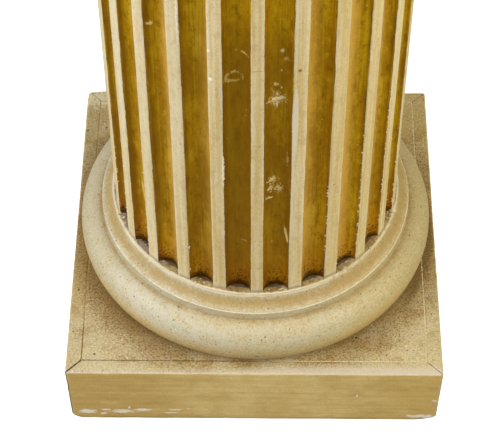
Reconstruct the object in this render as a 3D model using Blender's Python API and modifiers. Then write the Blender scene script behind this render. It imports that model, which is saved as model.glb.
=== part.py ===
"""Fluted column in painted wood, on a box plinth, with a plain capital.

The column stands on the underside of its plinth. Its axis is the Z axis, its front is -Y
and the origin is at the centre of the underside. All sizes are in metres.
"""

from math import asin, cos, pi, radians, sin, sqrt

import bmesh
import bpy

# Fits and finish
joint_gap = 0.0003
edge_round = 0.0025
edge_segments = 2
sharp_angle = radians(35)

# Box plinth: four mitred boards around a top panel, open below
plinth_height = 0.090
board_thickness = 0.016
panel_thickness = 0.018
plinth_margin = 0.0074

# Base moulding: large half round, then a step, a hollow and a lip under the shaft
half_round_height = 0.052
half_round_bulge = 0.0204
step_set_back = 0.0249
step_height = 0.0120
hollow_width = 0.0124
hollow_height = 0.0145
hollow_sag = 0.0022
lip_height = 0.0025
lip_overhang = 0.0023

# Fluted shaft: straight over its lower part, then swelling in to the top
shaft_length = 2.130
shaft_bottom_radius = 0.153
shaft_top_radius = 0.128
straight_share = 1 / 3
taper_curve = 1.6
flute_count = 24
strip_width = 0.0138
flute_depth = 0.0090
first_strip_turn = radians(1.08)

# Capital moulding: neck ring, neck, three thin rings and a rounded cushion
neck_ring_height = 0.014
neck_ring_projection = 0.009
neck_fillet_height = 0.005
neck_fillet_projection = 0.004
neck_height = 0.040
neck_set_back = 0.004
thin_ring_count = 3
thin_ring_height = 0.003
thin_ring_step = 0.003
cushion_height = 0.033
cushion_projection = 0.036

# Square slab on top
abacus_height = 0.048
abacus_margin = 0.006

# Fineness of the round work
base_steps = 64
capital_steps = 48
half_round_points = 9
hollow_points = 4
flute_points = 8
taper_stages = 6
cushion_points = 6

# Worked out from the sizes above
lip_radius = shaft_bottom_radius + lip_overhang
step_radius = lip_radius + hollow_width
half_round_radius = step_radius + step_set_back
plinth_width = 2 * (half_round_radius + plinth_margin)
base_bottom = plinth_height + joint_gap
base_height = half_round_height + step_height + hollow_height + lip_height
shaft_bottom = base_bottom + base_height + joint_gap
shaft_top = shaft_bottom + shaft_length
capital_bottom = shaft_top + joint_gap
capital_height = (
    neck_fillet_height
    + neck_ring_height
    + neck_height
    + thin_ring_count * thin_ring_height
    + cushion_height
)
neck_radius = shaft_top_radius - neck_set_back
cushion_radius = neck_radius + thin_ring_count * thin_ring_step + cushion_projection
abacus_bottom = capital_bottom + capital_height + joint_gap
abacus_width = 2 * (cushion_radius + abacus_margin)

paint_colors = {
    "cream_paint": (0.66, 0.55, 0.34, 1.0),
    "gilt_paint": (0.30, 0.17, 0.02, 1.0),
    "ochre_paint": (0.45, 0.30, 0.12, 1.0),
}


def clear_scene():
    for obj in list(bpy.data.objects):
        bpy.data.objects.remove(obj, do_unlink=True)


def new_collection(name):
    collection = bpy.data.collections.new(name)
    bpy.context.scene.collection.children.link(collection)
    return collection


def paint(node_name, color_name, roughness):
    """A Principled material for one piece, in one of the paint colours."""
    material = bpy.data.materials.new(node_name + "_paint")
    material.use_nodes = True
    shader = material.node_tree.nodes["Principled BSDF"]
    shader.inputs["Base Color"].default_value = paint_colors[color_name]
    shader.inputs["Roughness"].default_value = roughness
    shader.inputs["Metallic"].default_value = 0.0
    return material


def add_object(name, bm, collection, material=None):
    """Turn a bmesh into a named object in a collection."""
    mesh = bpy.data.meshes.new(name)
    bm.to_mesh(mesh)
    bm.free()
    obj = bpy.data.objects.new(name, mesh)
    collection.objects.link(obj)
    if material:
        mesh.materials.append(material)
    return obj


def box(width, depth, height):
    """A bmesh box that stands on Z = 0, centred in X and Y."""
    bm = bmesh.new()
    bmesh.ops.create_cube(bm, size=1.0)
    bmesh.ops.scale(bm, vec=(width, depth, height), verts=bm.verts)
    bmesh.ops.translate(bm, vec=(0, 0, height / 2), verts=bm.verts)
    return bm


def round_edges(obj, width, segments):
    bevel = obj.modifiers.new("edge_round", "BEVEL")
    bevel.width = width
    bevel.segments = segments
    bevel.limit_method = "ANGLE"
    bevel.angle_limit = sharp_angle


def turned(name, profile, steps, collection, material):
    """A turned solid. The profile runs down the outer side, from axis to axis."""
    bm = bmesh.new()
    points = [bm.verts.new((radius, 0, height)) for radius, height in profile]
    for upper, lower in zip(points, points[1:]):
        bm.edges.new((upper, lower))
    obj = add_object(name, bm, collection, material)
    screw = obj.modifiers.new("turning", "SCREW")
    screw.axis = "Z"
    screw.angle = 2 * pi
    screw.steps = steps
    screw.render_steps = steps
    screw.use_merge_vertices = True
    screw.merge_threshold = 0.00005
    return obj


def shade_round(obj):
    """Smooth shading with crisp arrises, on the finished mesh."""
    if obj.modifiers:
        evaluated = obj.evaluated_get(bpy.context.evaluated_depsgraph_get())
        obj.data = bpy.data.meshes.new_from_object(evaluated)
        obj.modifiers.clear()
    obj.data.shade_smooth()
    obj.data.set_sharp_from_angle(angle=sharp_angle)


def make_plinth(parts, cutters):
    """Four mitred boards, trimmed to one rounded block, around a flush top panel."""
    half = plinth_width / 2
    block = add_object("plinth_block_outline", box(plinth_width, plinth_width, plinth_height), cutters)
    block.hide_render = True
    block.display_type = "WIRE"
    round_edges(block, edge_round, edge_segments)

    # Each raw board stands a little proud outside and is trimmed back to the block
    proud = board_thickness / 4
    turns = {"front": 0, "right": 1, "back": 2, "left": 3}
    for side, quarter in turns.items():
        name = "plinth_board_" + side
        bm = box(plinth_width, board_thickness + proud, plinth_height + 2 * proud)
        outer, inner = -(board_thickness + proud) / 2, (board_thickness + proud) / 2
        for vert in bm.verts:
            from_face = -proud if vert.co.y < 0 else board_thickness
            end = half - from_face - joint_gap / sqrt(2)
            vert.co.x = end if vert.co.x > 0 else -end
            vert.co.y = outer if vert.co.y < 0 else inner
        board = add_object(name, bm, parts, paint(name, "ochre_paint", 0.55))
        middle = half + proud - (board_thickness + proud) / 2
        angle = quarter * pi / 2
        board.location = (middle * sin(angle), -middle * cos(angle), -proud)
        board.rotation_euler = (0, 0, angle)
        trim = board.modifiers.new("trim_to_block", "BOOLEAN")
        trim.operation = "INTERSECT"
        trim.solver = "EXACT"
        trim.object = block

    inner_width = plinth_width - 2 * (board_thickness + joint_gap)
    panel = add_object(
        "plinth_top_panel",
        box(inner_width, inner_width, panel_thickness),
        parts,
        paint("plinth_top_panel", "cream_paint", 0.65),
    )
    panel.location = (0, 0, plinth_height - panel_thickness)


def half_round_profile():
    """Points down a flattened half round, from the step's foot to the underside."""
    half_height = half_round_height / 2
    centre_radius = half_round_radius - half_round_bulge
    reach_in = max(-1.0, min(1.0, (step_radius - centre_radius) / half_round_bulge))
    start = pi / 2 - asin(reach_in)
    points = []
    for i in range(half_round_points + 1):
        angle = start + (-pi / 2 - start) * i / half_round_points
        radius = centre_radius + half_round_bulge * cos(angle)
        points.append((radius, half_height + half_height * sin(angle)))
    return points


def make_base_moulding(parts):
    lip_top = base_height
    lip_bottom = lip_top - lip_height
    profile = [(0, lip_top), (lip_radius, lip_top), (lip_radius, lip_bottom)]
    for i in range(1, hollow_points + 1):
        share = i / hollow_points
        sag = hollow_sag * sin(pi * share)
        radius = lip_radius + hollow_width * share - sag
        profile.append((radius, lip_bottom - hollow_height * share - sag / 2))
    profile += half_round_profile()
    profile.append((0, 0))
    name = "base_moulding"
    moulding = turned(name, profile, base_steps, parts, paint(name, "cream_paint", 0.5))
    moulding.location = (0, 0, base_bottom)
    shade_round(moulding)


def flute_outline():
    """Outline of the shaft's section at its foot: flat strips with a hollow between each two."""
    pitch = 2 * pi / flute_count
    strip_half = asin(strip_width / 2 / shaft_bottom_radius)
    chord_half = shaft_bottom_radius * sin(pitch / 2 - strip_half)
    chord_distance = shaft_bottom_radius * cos(pitch / 2 - strip_half)
    arc_radius = (chord_half**2 + flute_depth**2) / (2 * flute_depth)
    arc_half = asin(min(1.0, chord_half / arc_radius))
    if flute_depth > chord_half:
        arc_half = pi - arc_half
    arc_centre = chord_distance - flute_depth + arc_radius
    outline = []
    for k in range(flute_count):
        middle = -pi / 2 + first_strip_turn + (k + 0.5) * pitch
        for i in range(flute_points + 1):
            along = arc_half * (2 * i / flute_points - 1)
            across = arc_radius * sin(along)
            outward = arc_centre - arc_radius * cos(along)
            outline.append(
                (
                    outward * cos(middle) - across * sin(middle),
                    outward * sin(middle) + across * cos(middle),
                )
            )
    return outline


def shaft_share(share_of_length):
    """Radius at a height as a share of the foot's radius: straight, then a soft curve inwards."""
    if share_of_length <= straight_share:
        return 1.0
    rise = (share_of_length - straight_share) / (1 - straight_share)
    return 1 - (1 - shaft_top_radius / shaft_bottom_radius) * rise**taper_curve


def make_shaft(parts):
    """The section drawn out along the shaft, stage by stage, each ring at its own radius."""
    outline = flute_outline()
    bm = bmesh.new()
    foot = bmesh.ops.create_circle(bm, cap_ends=True, segments=len(outline), radius=1.0)
    for vert, (x, y) in zip(foot["verts"], outline):
        vert.co = (x, y, 0)
    stages = [0.0, straight_share]
    for i in range(1, taper_stages + 1):
        stages.append(straight_share + (1 - straight_share) * i / taper_stages)
    bm.faces.ensure_lookup_table()
    top = bm.faces[0]
    for below, share in zip(stages, stages[1:]):
        section = top
        drawn = bmesh.ops.extrude_face_region(bm, geom=[section])
        top = next(item for item in drawn["geom"] if isinstance(item, bmesh.types.BMFace))
        if below > 0:
            bmesh.ops.delete(bm, geom=[section], context="FACES_ONLY")
        growth = shaft_share(share) / shaft_share(below)
        bmesh.ops.scale(bm, vec=(growth, growth, 1), verts=top.verts)
        bmesh.ops.translate(bm, vec=(0, 0, (share - below) * shaft_length), verts=top.verts)
    bmesh.ops.recalc_face_normals(bm, faces=bm.faces)
    name = "fluted_shaft"
    shaft = add_object(name, bm, parts, paint(name, "gilt_paint", 0.4))
    shaft.location = (0, 0, shaft_bottom)
    shade_round(shaft)


def make_capital_moulding(parts):
    """Neck ring, neck, thin rings and cushion, in one turned piece."""
    top = capital_height
    profile = [(0, top), (cushion_radius, top)]
    cushion_bottom = top - cushion_height
    cushion_foot = cushion_radius - cushion_projection
    for i in range(1, cushion_points + 1):
        angle = pi / 2 * i / cushion_points
        radius = cushion_foot + cushion_projection * cos(angle)
        profile.append((radius, cushion_bottom + cushion_height * (1 - sin(angle))))
    height = cushion_bottom
    for i in range(thin_ring_count):
        radius = cushion_foot - thin_ring_step * i
        profile.append((radius, height - thin_ring_height))
        profile.append((radius - thin_ring_step, height - thin_ring_height))
        height -= thin_ring_height
    ring_top = height - neck_height
    profile.append((neck_radius, ring_top))
    ring_edge = shaft_top_radius + neck_ring_projection
    ring_half = neck_ring_height / 2
    profile.append((ring_edge - ring_half, ring_top))
    for i in range(1, cushion_points):
        angle = pi / 2 - pi * i / cushion_points
        radius = ring_edge - ring_half + ring_half * cos(angle)
        profile.append((radius, ring_top - ring_half + ring_half * sin(angle)))
    fillet_radius = shaft_top_radius + neck_fillet_projection
    profile.append((fillet_radius, ring_top - neck_ring_height))
    profile.append((fillet_radius, 0))
    profile.append((0, 0))
    name = "capital_moulding"
    moulding = turned(name, profile, capital_steps, parts, paint(name, "cream_paint", 0.5))
    moulding.location = (0, 0, capital_bottom)
    shade_round(moulding)


def make_abacus(parts):
    name = "abacus"
    slab = add_object(
        name, box(abacus_width, abacus_width, abacus_height), parts, paint(name, "cream_paint", 0.55)
    )
    slab.location = (0, 0, abacus_bottom)
    round_edges(slab, edge_round, edge_segments)


clear_scene()
parts = new_collection("fluted_column")
cutters = new_collection("cutters")
make_plinth(parts, cutters)
make_base_moulding(parts)
make_shaft(parts)
make_capital_moulding(parts)
make_abacus(parts)
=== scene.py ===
from math import asin, cos, pi, radians, sin

import bmesh
import bpy
import numpy as np
from mathutils import Matrix, Vector


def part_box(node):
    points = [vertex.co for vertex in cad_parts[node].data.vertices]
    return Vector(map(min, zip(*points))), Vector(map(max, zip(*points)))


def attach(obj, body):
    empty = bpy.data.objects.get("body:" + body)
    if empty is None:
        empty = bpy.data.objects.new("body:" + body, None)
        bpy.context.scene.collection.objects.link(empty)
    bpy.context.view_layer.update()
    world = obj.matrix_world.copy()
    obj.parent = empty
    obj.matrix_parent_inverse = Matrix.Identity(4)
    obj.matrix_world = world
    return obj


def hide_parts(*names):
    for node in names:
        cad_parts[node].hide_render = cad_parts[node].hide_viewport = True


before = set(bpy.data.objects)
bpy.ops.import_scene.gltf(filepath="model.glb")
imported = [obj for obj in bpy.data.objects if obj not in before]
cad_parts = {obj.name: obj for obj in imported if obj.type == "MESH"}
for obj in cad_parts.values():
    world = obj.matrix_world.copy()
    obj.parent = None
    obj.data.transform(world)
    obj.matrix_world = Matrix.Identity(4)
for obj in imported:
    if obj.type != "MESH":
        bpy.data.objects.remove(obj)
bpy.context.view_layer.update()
print("Frame loaded:", len(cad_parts), "nodes")


def screenColor(red, green, blue):  # a colour as a paint chart gives it, 0 to 255
    linear = []
    for part in (red, green, blue):
        share = part / 255
        linear.append(share / 12.92 if share <= 0.04045 else ((share + 0.055) / 1.055) ** 2.4)
    return (*linear, 1.0)


def paintTones(**tones):
    return {name: screenColor(*tone) for name, tone in tones.items()}


# Camera, light and floor

cameraSet = {
    "place": (0.00601, -1.26485, 1.71637),
    "tiltDown": 51.9765,
    "turn": 0.5442,
    "roll": -0.0776,
    "lens": 132.195,
    "sensorWidth": 36,
}
roomLight = {"world": 0.14, "worldColor": (1.0, 0.93, 0.80, 1.0), "aim": (0, 0, 0.25)}
floorPaper = {"tone": 0.3, "glow": 0.04, "reach": 9.0, "below": 0.0004}
softboxes = {  # place, size, power and colour
    "left": ((-1.7, -0.35, 1.1), (1.1, 1.9), 25, (0.97, 1.0, 0.93)),
    "right": ((1.7, -0.35, 1.1), (1.1, 1.9), 16, (1.0, 0.97, 0.62)),
    "leftHigh": ((-1.3, -1.2, 1.9), (1.2, 1.2), 15, (1.0, 0.98, 1.0)),
    "rightHigh": ((1.3, -1.2, 1.9), (1.2, 1.2), 21, (1.0, 0.98, 0.93)),
    "top": ((0.0, -0.5, 3.2), (2.2, 1.6), 5, (1.0, 0.98, 0.96)),
    "front": ((0.0, -2.6, 0.9), (2.4, 1.2), 5, (1.0, 0.96, 0.88)),
    "backLeft": ((-1.4, 1.3, 1.3), (1.2, 1.2), 4, (1.0, 1.0, 1.0)),
    "backRight": ((1.4, 1.3, 1.3), (1.2, 1.2), 1.5, (1.0, 0.97, 0.90)),
}


def addToScene(name, content):
    holder = bpy.data.objects.new(name, content)
    bpy.context.scene.collection.objects.link(holder)
    return holder


def placeCamera():
    camera = bpy.data.cameras.new("camera")
    camera.lens = cameraSet["lens"]
    camera.sensor_width = cameraSet["sensorWidth"]
    holder = addToScene("camera", camera)
    turn = Matrix.Rotation(radians(cameraSet["turn"]), 4, "Z")
    tilt = Matrix.Rotation(radians(90 - cameraSet["tiltDown"]), 4, "X")
    roll = Matrix.Rotation(radians(cameraSet["roll"]), 4, "Z")
    holder.matrix_world = Matrix.Translation(cameraSet["place"]) @ turn @ tilt @ roll
    bpy.context.scene.camera = holder


def lightRoom():
    world = bpy.data.worlds.new("paleRoom")
    world.use_nodes = True
    background = world.node_tree.nodes["Background"]
    background.inputs["Color"].default_value = roomLight["worldColor"]
    background.inputs["Strength"].default_value = roomLight["world"]
    bpy.context.scene.world = world
    for name, (place, size, power, color) in softboxes.items():
        light = bpy.data.lights.new(name + "Softbox", "AREA")
        light.shape = "RECTANGLE"
        light.size, light.size_y = size
        light.energy = power
        light.color = color
        holder = addToScene(name + "Softbox", light)
        holder.location = place
        holder.rotation_mode = "QUATERNION"
        holder.rotation_quaternion = (Vector(roomLight["aim"]) - Vector(place)).to_track_quat("-Z", "Y")
    bpy.context.scene.view_settings.view_transform = "Standard"


def layFloor():
    mesh = bpy.data.meshes.new("floor")
    reach = floorPaper["reach"]
    corners = [(-reach, -reach, 0), (reach, -reach, 0), (reach, reach, 0), (-reach, reach, 0)]
    mesh.from_pydata(corners, [], [(0, 1, 2, 3)])
    floor = addToScene("floor", mesh)
    floor.location.z = -floorPaper["below"]
    material = bpy.data.materials.new("floorPaper")
    material.use_nodes = True
    tree = material.node_tree
    shader = tree.nodes["Principled BSDF"]
    tone = floorPaper["tone"]
    shader.inputs["Base Color"].default_value = (tone, tone, tone, 1.0)
    shader.inputs["Roughness"].default_value = 0.9
    shader.inputs["Specular IOR Level"].default_value = 0.0
    shader.inputs["Emission Color"].default_value = (1.0, 1.0, 1.0, 1.0)
    lightPath = tree.nodes.new("ShaderNodeLightPath")
    seenGlow = tree.nodes.new("ShaderNodeMapRange")
    tree.links.new(lightPath.outputs["Is Camera Ray"], seenGlow.inputs["Value"])
    seenGlow.inputs["To Min"].default_value = floorPaper["glow"]
    seenGlow.inputs["To Max"].default_value = 1.0
    tree.links.new(seenGlow.outputs["Result"], shader.inputs["Emission Strength"])
    mesh.materials.append(material)


placeCamera()
lightRoom()
layFloor()
print("Camera, lights and floor set")


# Meshes

def latticeValue(cell, seed):  # one number from 0 to 1 for each lattice point
    mixed = cell @ np.array([73856093, 19349663, 83492791]) + seed * 2654435761
    mixed = (mixed ^ (mixed >> 13)) * 1274126177
    return ((mixed ^ (mixed >> 16)) & 65535) / 65535


def softNoise(points, size, seed):  # smooth noise from -1 to 1, its lumps about one size across
    scaled = points / size + seed * 3.71
    cell = np.floor(scaled).astype(np.int64)
    within = scaled - cell
    ease = within * within * (3 - 2 * within)
    total = np.zeros(len(points))
    for corner in range(8):
        step = np.array([corner & 1, corner >> 1 & 1, corner >> 2 & 1])
        weight = np.prod(np.where(step, ease, 1 - ease), axis=1)
        total += weight * latticeValue(cell + step, seed)
    return total * 2 - 1


def easeBetween(low, high, value):  # 0 below low, 1 above high, smooth between
    share = np.clip((value - low) / (high - low), 0, 1)
    return share * share * (3 - 2 * share)


def knocks(points, size, spread, seed, limits=(0.5, 0.95, 0.1, 0.6)):  # small losses, many in some stretches
    low, high, spreadLow, spreadHigh = limits
    small = easeBetween(low, high, softNoise(points, size, seed))
    return small * easeBetween(spreadLow, spreadHigh, softNoise(points, spread, seed + 1))


def waves(points, *layers):  # depth, size and seed of each layer of noise
    return sum(depth * softNoise(points, size, seed) for depth, size, seed in layers)


def linePoints(first, last, count):
    share = np.linspace(0, 1, count)[:, None]
    return np.array(first) + (np.array(last) - np.array(first)) * share


def arcPoints(centre, size, start, stop, count):  # angles in degrees
    angle = np.radians(np.linspace(start, stop, count))
    return np.stack([centre[0] + size[0] * np.cos(angle), centre[1] + size[1] * np.sin(angle)], axis=1)


def joinRuns(runs):  # one outline from several runs of points, without doubled points
    points = np.concatenate(runs)
    apart = np.linalg.norm(np.diff(points, axis=0), axis=1) > 1e-5
    return points[np.concatenate([[True], apart])]


def gridFaces(rows, columns, closed=False):
    row, column = np.meshgrid(
        np.arange(rows - 1), np.arange(columns if closed else columns - 1), indexing="ij"
    )
    here = row * columns + column
    beside = row * columns + (column + 1) % columns
    return np.stack([here, here + columns, beside + columns, beside], axis=-1).reshape(-1, 4).tolist()


def tubeFaces(rows, columns):  # rows of points that close round, with a cap on both ends
    ends = [list(range(columns)), list(range((rows - 1) * columns, rows * columns))]
    return gridFaces(rows, columns, closed=True) + ends


def joinParts(parts):  # the points and faces of several small meshes as one
    faces, count = [], 0
    for partPoints, partFaces in parts:
        faces += [[index + count for index in face] for face in partFaces]
        count += len(partPoints)
    return np.concatenate([partPoints for partPoints, partFaces in parts]), faces


def turnFlat(points, angle):  # turned round the Z axis
    x, y = points[:, 0], points[:, 1]
    return np.column_stack([x * cos(angle) - y * sin(angle), x * sin(angle) + y * cos(angle), points[:, 2]])


def ringPlace(distance, turn, height):
    return np.array([distance * cos(turn), distance * sin(turn), height])


def addPiece(name, points, faces, material, slotName, values=None, replaces=True):
    title = name + "_painted" if replaces else name
    mesh = bpy.data.meshes.new(title)
    mesh.from_pydata(points.tolist(), [], faces)
    bm = bmesh.new()
    bm.from_mesh(mesh)
    bmesh.ops.recalc_face_normals(bm, faces=bm.faces)
    bm.to_mesh(mesh)
    bm.free()
    mesh.shade_smooth()
    mesh.materials.append(material)
    for valueName, numbers in (values or {}).items():  # read by pointValue in the paints
        layer = mesh.attributes.new(valueName, "FLOAT", "POINT")
        layer.data.foreach_set("value", np.asarray(numbers, dtype=np.float32))
    piece = addToScene(title, mesh)
    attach(piece, "root")
    if replaces:
        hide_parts(name)


def roundBlock(points, centre, half, rounding):  # pulls the edges and corners of a block in to a round
    local = points - centre
    inner = np.clip(local, -(half - rounding[:, None]), half - rounding[:, None])
    away = local - inner
    distance = np.linalg.norm(away, axis=1)
    pull = np.where(distance > rounding, rounding / np.maximum(distance, 1e-9), 1.0)
    return centre + inner + away * pull[:, None]


def splitRange(half, step, fine):
    inner = np.linspace(-half + fine[-1], half - fine[-1], max(3, int(2 * half / step)))
    return np.concatenate([-half + fine[:-1], inner, half - fine[:-1][::-1]])


def blockGrid(nodeName, step, fine):  # a node's box, half its size, and its surface, finer towards the edges
    low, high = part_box(nodeName)
    half = np.array((high - low) / 2)
    centre = np.array([0.0, 0.0, (high.z + low.z) / 2])
    spans = [splitRange(length, step, np.array(fine)) for length in half]
    parts = []
    for axis in range(3):
        first, second = [other for other in range(3) if other != axis]
        for end in (-1, 1):
            u, v = np.meshgrid(spans[first], spans[second], indexing="ij")
            sheet = np.zeros((u.size, 3))
            sheet[:, first] = u.ravel()
            sheet[:, second] = v.ravel()
            sheet[:, axis] = end * half[axis]
            parts.append((sheet, gridFaces(len(spans[first]), len(spans[second]))))
    points, faces = joinParts(parts)
    keys = np.round(points * 1e6).astype(np.int64)
    firstIndex, back = np.unique(keys, axis=0, return_index=True, return_inverse=True)[1:]
    return points[firstIndex] + centre, back.ravel()[np.array(faces)].tolist(), centre, half


# Nodes: sums and products of fields build the Math nodes

def feed(tree, socket, value):
    if isinstance(value, Field):
        tree.links.new(value.socket, socket)
    else:
        socket.default_value = value


def makeField(tree, socket):
    return (Place if socket.type == "VECTOR" else Field)(tree, socket)


def addNode(tree, kind, inputs, output=0, **settings):
    node = tree.nodes.new("ShaderNode" + kind)
    for name, setting in settings.items():
        setattr(node, name, setting)
    for name, value in inputs.items():
        feed(tree, node.inputs[name], value)
    return makeField(tree, node.outputs[output])


class Field:  # a number or colour that changes over the surface
    def __init__(self, tree, socket):
        self.tree = tree
        self.socket = socket

    def beside(self, output):  # another output of the same node
        return makeField(self.tree, self.socket.node.outputs[output])

    def join(self, operation, first, second=0.5):
        return addNode(self.tree, "Math", {0: first, 1: second}, operation=operation)

    def __add__(self, other):
        return self.join("ADD", self, other)

    def __sub__(self, other):
        return self.join("SUBTRACT", self, other)

    def __rsub__(self, other):
        return self.join("SUBTRACT", other, self)

    def __mul__(self, other):
        return self.join("MULTIPLY", self, other)

    def __truediv__(self, other):
        return self.join("DIVIDE", self, other)

    def __rtruediv__(self, other):
        return self.join("DIVIDE", other, self)

    def __abs__(self):
        return self.join("ABSOLUTE", self)

    def larger(self, other):
        return self.join("MAXIMUM", self, other)

    def step(self, low, high, start=0.0, stop=1.0):  # runs smoothly from start at low to stop at high
        inputs = {"Value": self, "From Min": low, "From Max": high, "To Min": start, "To Max": stop}
        return addNode(self.tree, "MapRange", inputs, "Result", interpolation_type="SMOOTHSTEP")


class Place(Field):  # a point or direction
    def joinVectors(self, operation, other=(0.0, 0.0, 0.0), output=0):
        return addNode(self.tree, "VectorMath", {0: self, 1: other}, output, operation=operation)

    def __add__(self, other):
        return self.joinVectors("ADD", other)

    def __sub__(self, other):
        return self.joinVectors("SUBTRACT", other)

    def __mul__(self, factor):
        return addNode(self.tree, "VectorMath", {0: self, "Scale": factor}, operation="SCALE")

    def __truediv__(self, other):
        if isinstance(other, (Place, tuple)):
            return self.joinVectors("DIVIDE", other)
        return self * (1.0 / other)

    def length(self):
        return self.joinVectors("LENGTH", output="Value")

    def parts(self):
        first = addNode(self.tree, "SeparateXYZ", {0: self})
        return first, first.beside(1), first.beside(2)


def makeVector(x, y, z):
    return addNode(x.tree, "CombineXYZ", {0: x, 1: y, 2: z})


def noise(place, size, detail=3.0, roughness=0.5):
    inputs = {"Vector": place, "Scale": 1 / size, "Detail": detail, "Roughness": roughness}
    return addNode(place.tree, "TexNoise", inputs)


def pointValue(place, name):
    return addNode(place.tree, "Attribute", {}, "Fac", attribute_name=name)


def surfaceUp(place):  # how far the surface faces upward
    return addNode(place.tree, "NewGeometry", {}, "Normal").parts()[2]


def blend(share, first, second):
    return addNode(share.tree, "Mix", {0: share, 6: first, 7: second}, 2, data_type="RGBA")


def layTones(color, look, layers):  # one tone over the other, each as far as its share goes
    for share, tone in layers:
        color = blend(share, color, look[tone])
    return color


# Effects that several paints share

def socketTitle(name):  # dotSize becomes Dot Size
    return "".join(" " + letter if letter.isupper() else letter for letter in name).title()


def buildGroup(title, effect, **inputs):
    group = bpy.data.node_groups.new(title, "ShaderNodeTree")
    for name, value in inputs.items():
        kind = "NodeSocketVector" if isinstance(value, tuple) else "NodeSocketFloat"
        socket = group.interface.new_socket(socketTitle(name), in_out="INPUT", socket_type=kind)
        socket.default_value = value
    start = group.nodes.new("NodeGroupInput")
    masks = effect(**{name: makeField(group, socket) for name, socket in zip(inputs, start.outputs)})
    for name in masks:
        group.interface.new_socket(name, in_out="OUTPUT", socket_type="NodeSocketFloat")
    end = group.nodes.new("NodeGroupOutput")
    for name, mask in masks.items():
        feed(group, end.inputs[name], mask)
    return group


def useGroup(group, place, **values):
    node = place.tree.nodes.new("ShaderNodeGroup")
    node.node_tree = group
    for name, value in {"place": place, **values}.items():
        feed(place.tree, node.inputs[socketTitle(name)], value)
    return {output.name: makeField(place.tree, output) for output in node.outputs}


def fineSpecks(place, spacing, share, dotSize):  # scattered dots, such as dirt specks or pin holes
    cells = addNode(place.tree, "TexVoronoi", {"Vector": place / spacing, "Scale": 1.0}, "Distance")
    pick = addNode(place.tree, "SeparateColor", {0: cells.beside("Color")})
    size = dotSize * (pick.beside(1) * 0.7 + 0.5)
    return {"Mask": cells.step(size, size * 0.5) * pick.join("LESS_THAN", pick, share)}


def saltAndPepper(place, fleckSize):  # uneven dark and pale flecks all over
    flecks = noise(place / fleckSize, 1.0, 2.0, 0.75)
    return {"Dark": flecks.step(0.51, 0.62), "Pale": flecks.step(0.46, 0.36)}


def drawnGrain(place, strokeSize):  # brush strokes or wood grain, drawn out along one way
    scaled = place / strokeSize
    return {"Broad": noise(scaled, 2.6, 2.0), "Fine": noise(scaled, 0.7, 3.0, 0.6)}


def edgeBreakupMask(edge, place, breakSize, reach):  # a broken-up mask along an edge, for worn paint, paint in joints, and paler edges that are partly a painted highlight
    level = (noise(place / breakSize, 1.0, 4.0, 0.6) - 0.5) * 1.1 + edge
    start = 1.0 - reach
    return {"Mask": level.step(start, start + 0.3)}


def settledGrimeAndShade(recess, place, cloudSize):  # clouds and finer blotches where the recess value is high
    scaled = place / cloudSize
    broken = noise(scaled, 1.0, 5.0, 0.65) * 0.9 + noise(scaled, 0.16, 2.0, 0.6) * 0.5
    return {"Mask": (recess + (broken - 0.7)).step(0.2, 0.95)}


def paintMark(place, centre, halfSize, turn, ragged, grainSize):  # a chip, scuff, run of paint or ring
    angles = {"Vector": place - centre, "Angle": turn}
    turned = addNode(place.tree, "VectorRotate", angles, rotation_type="Y_AXIS")
    grain = noise(place / grainSize, 1.0, 4.0, 0.6)
    level = (turned / halfSize).length() + (grain - 0.47) * (ragged * 2.4)
    return {"Mask": level.step(1.0, 0.8), "Rim": abs(level - 0.9).step(0.30, 0.10)}


origin = (0.0, 0.0, 0.0)
specksGroup = buildGroup("Fine Specks", fineSpecks, place=origin, spacing=0.004, share=0.2, dotSize=0.3)
fleckGroup = buildGroup("Salt And Pepper", saltAndPepper, place=origin, fleckSize=0.002)
grainGroup = buildGroup("Drawn Grain", drawnGrain, place=origin, strokeSize=(0.002, 0.002, 0.05))
edgeBreakupGroup = buildGroup("Edge Wear", edgeBreakupMask, edge=0.0, place=origin, breakSize=0.006, reach=0.5)
grimeAndShadeGroup = buildGroup("Settled Grime", settledGrimeAndShade, recess=0.0, place=origin, cloudSize=0.02)
markGroup = buildGroup("Paint Mark", paintMark, place=origin, centre=origin, halfSize=(0.01, 0.01, 0.01),
                       turn=0.0, ragged=0.8, grainSize=(0.002, 0.002, 0.002))


def dots(place, spacing, share, size):
    return useGroup(specksGroup, place, spacing=spacing, share=share, dotSize=size)["Mask"]


def edgeBreakup(place, valueName, breakSize, reach):
    edge = pointValue(place, valueName)
    return useGroup(edgeBreakupGroup, place, edge=edge, breakSize=breakSize, reach=reach)["Mask"]


def newPaint(name):
    material = bpy.data.materials.new(name)
    material.use_nodes = True
    return material, addNode(material.node_tree, "TexCoord", {}, "Object")


def finishPaint(material, color, rough, heights, **others):  # heights: field, distance in metres, strength
    tree = material.node_tree
    shader = tree.nodes["Principled BSDF"]
    inputs = {"Base Color": color, "Roughness": rough, **others}
    for height, distance, strength in heights:
        bump = {"Height": height, "Distance": distance, "Strength": strength}
        if "Normal" in inputs:
            bump["Normal"] = inputs["Normal"]
        inputs["Normal"] = addNode(tree, "Bump", bump)
    for name, value in inputs.items():
        feed(tree, shader.inputs[name], value)
    return material


# Turned mouldings

creamPaint = paintTones(
    pale=(204, 193, 162), chalk=(204, 198, 178), warm=(198, 179, 130), line=(184, 164, 116),
    grime=(178, 146, 82), lowTan=(204, 172, 102), freckle=(166, 147, 106), rosy=(220, 206, 172),
    greyPit=(158, 148, 120), pit=(116, 92, 56), hole=(58, 44, 28), bare=(234, 219, 190),
)


def turnedPlace(place):  # runs slowly round the axis and fast along the profile
    x, y, z = place.parts()
    flat = makeVector(x, y, 0.0)
    return flat.joinVectors("NORMALIZE") * 0.016 + makeVector(flat.length(), 0.0, z)


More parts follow.
